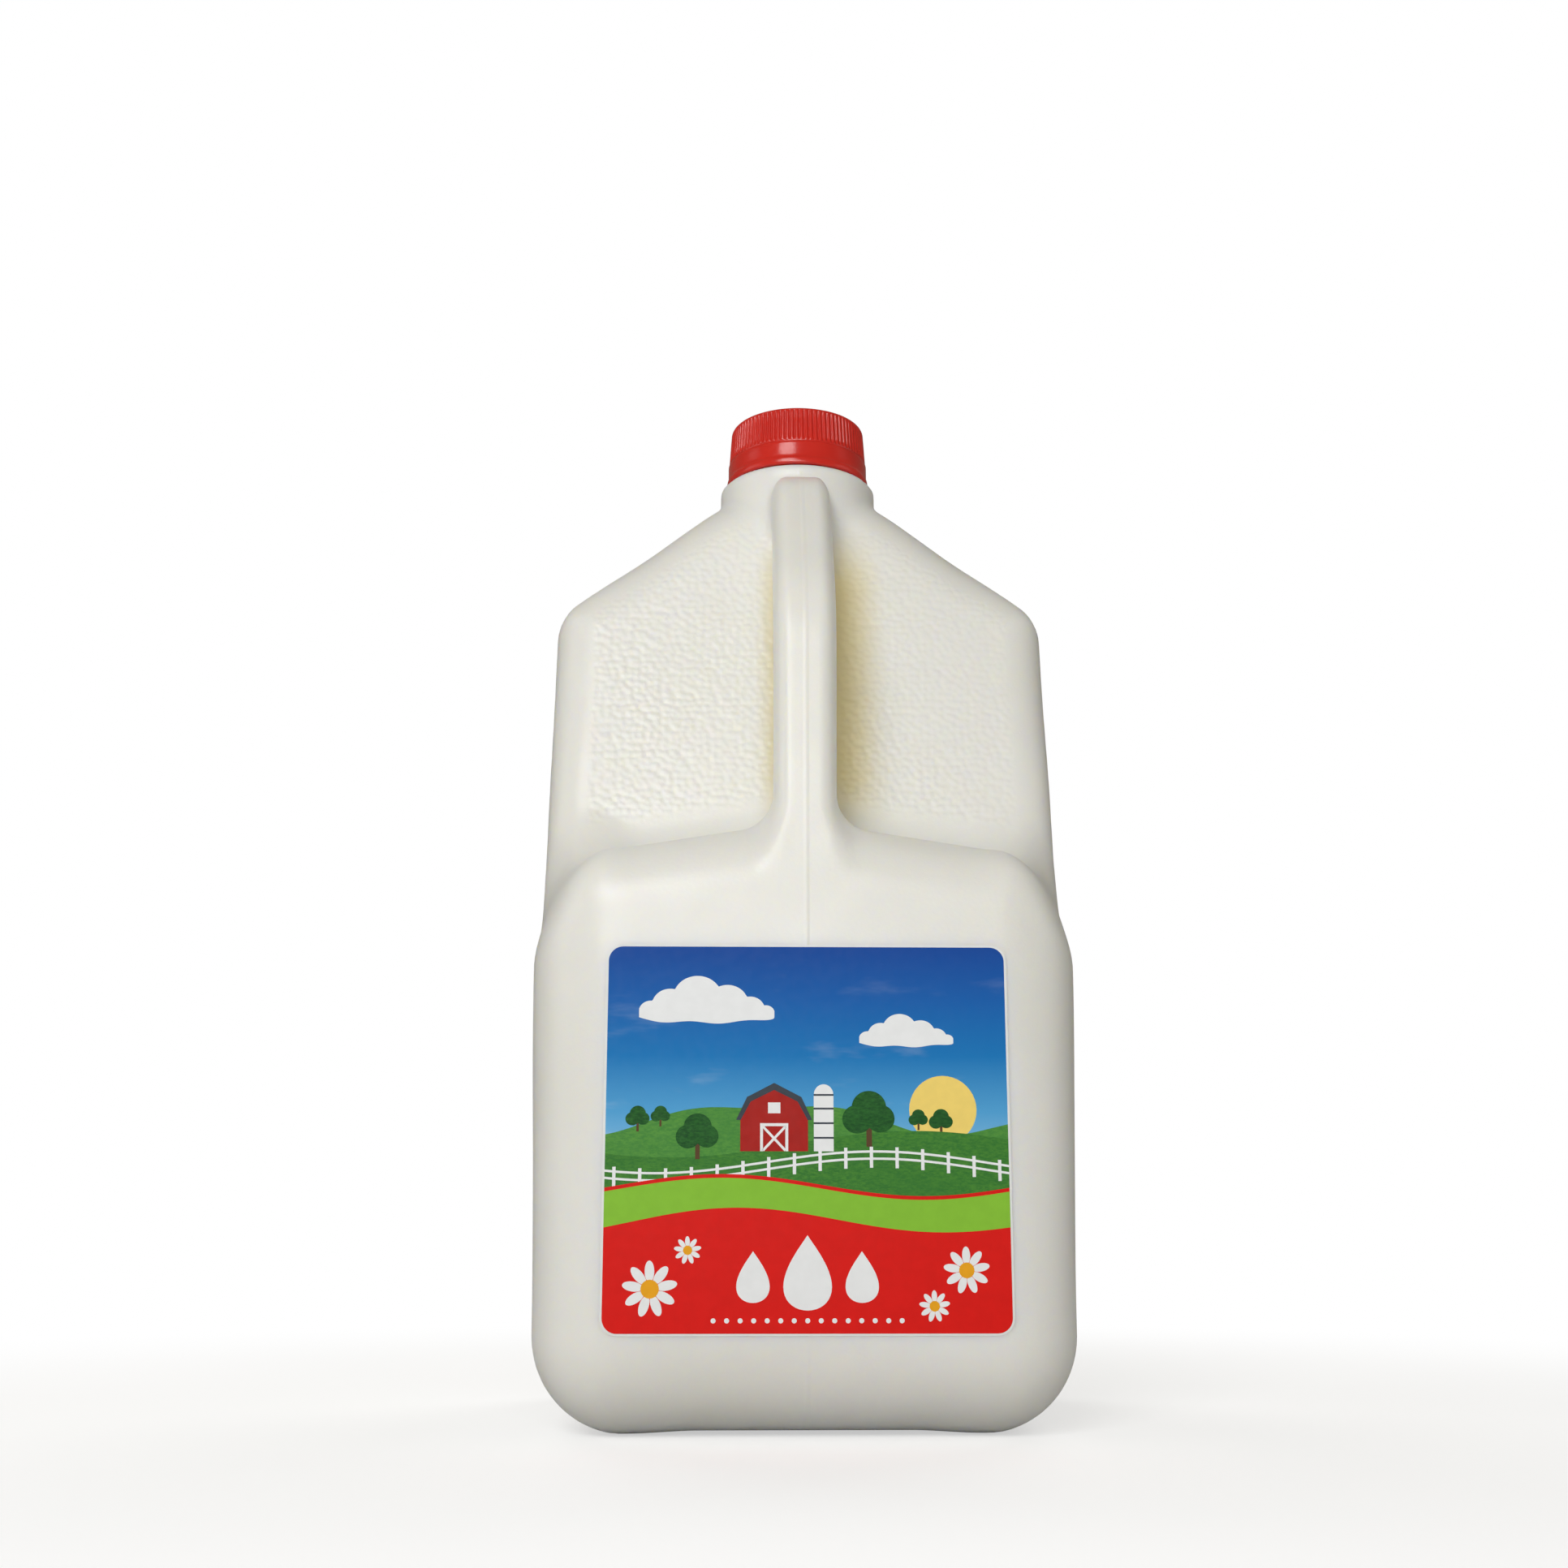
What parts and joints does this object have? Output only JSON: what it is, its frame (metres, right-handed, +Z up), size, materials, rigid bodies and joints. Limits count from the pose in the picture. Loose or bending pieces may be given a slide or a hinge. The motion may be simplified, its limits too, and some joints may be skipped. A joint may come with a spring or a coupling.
{
  "type": "milk jug",
  "caption": "Tall square plastic milk jug with an open moulded handle over a front recess, a ribbed screw cap and a flat printed front label.",
  "frame": {"origin": "centre of the base, on the surface that the jug stands on", "axes": "+Z up along the jug's axis, -Y towards the face with the handle and the label"},
  "size_m": [0.1392, 0.1389, 0.2856],
  "materials": {
    "bottle_plastic": "satin",
    "cap_plastic": "gloss",
    "label_print": "semi-gloss"
  },
  "bodies": {
    "root": {"bottle": "bottle_plastic", "cap": "cap_plastic", "label": "label_print"}
  },
  "joints": []
}
